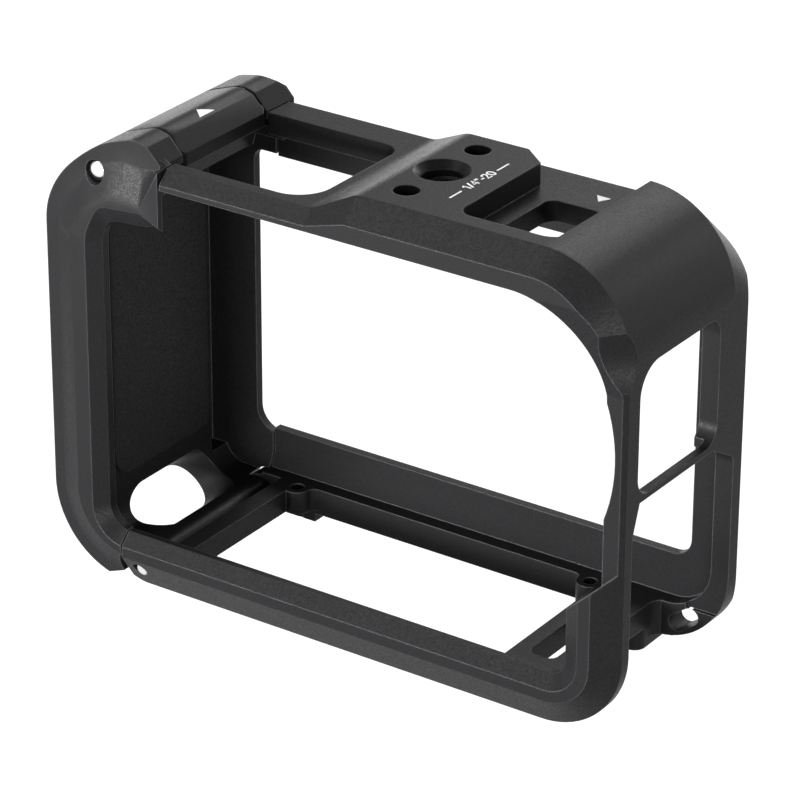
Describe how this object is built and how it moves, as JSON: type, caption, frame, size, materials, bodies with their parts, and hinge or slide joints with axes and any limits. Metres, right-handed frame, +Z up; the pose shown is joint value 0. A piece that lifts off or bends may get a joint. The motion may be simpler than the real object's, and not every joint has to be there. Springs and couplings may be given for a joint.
{
  "type": "camera cage",
  "caption": "Open metal cage for a compact action camera with a hinged side door, a latch lever and a threaded accessory hole on top.",
  "frame": {"origin": "middle of the bounding box in plan, at the underside", "axes": "+X to the right, away from the door; +Y from the front face to the back; +Z up"},
  "size_m": [0.0834, 0.03, 0.0613],
  "materials": {
    "body": "matte black anodised aluminium",
    "door": "matte black anodised aluminium",
    "lever": "matte black anodised aluminium",
    "pad": "soft black rubber",
    "pin": "bright stainless steel",
    "spring": "spring steel"
  },
  "bodies": {
    "frame": {"cage_frame": "body", "hinge_pin": "pin"},
    "door": {"side_door": "door", "door_pad": "pad", "latch_pin": "pin", "latch_spring": "spring"},
    "lever": {"latch_lever": "lever"}
  },
  "joints": [
    {"name": "door_swing", "type": "hinge", "parent": "frame", "child": "door", "pos_m": [-0.0283, 0, 0.00275], "axis": [0, -1, 0], "range_deg": [0, 85]},
    {"name": "latch_lift", "type": "hinge", "parent": "door", "child": "lever", "pos_m": [-0.0337, 0, 0.05565], "axis": [0, -1, 0], "range_deg": [0, 28], "stiffness_Nm_per_rad": 0.02}
  ]
}
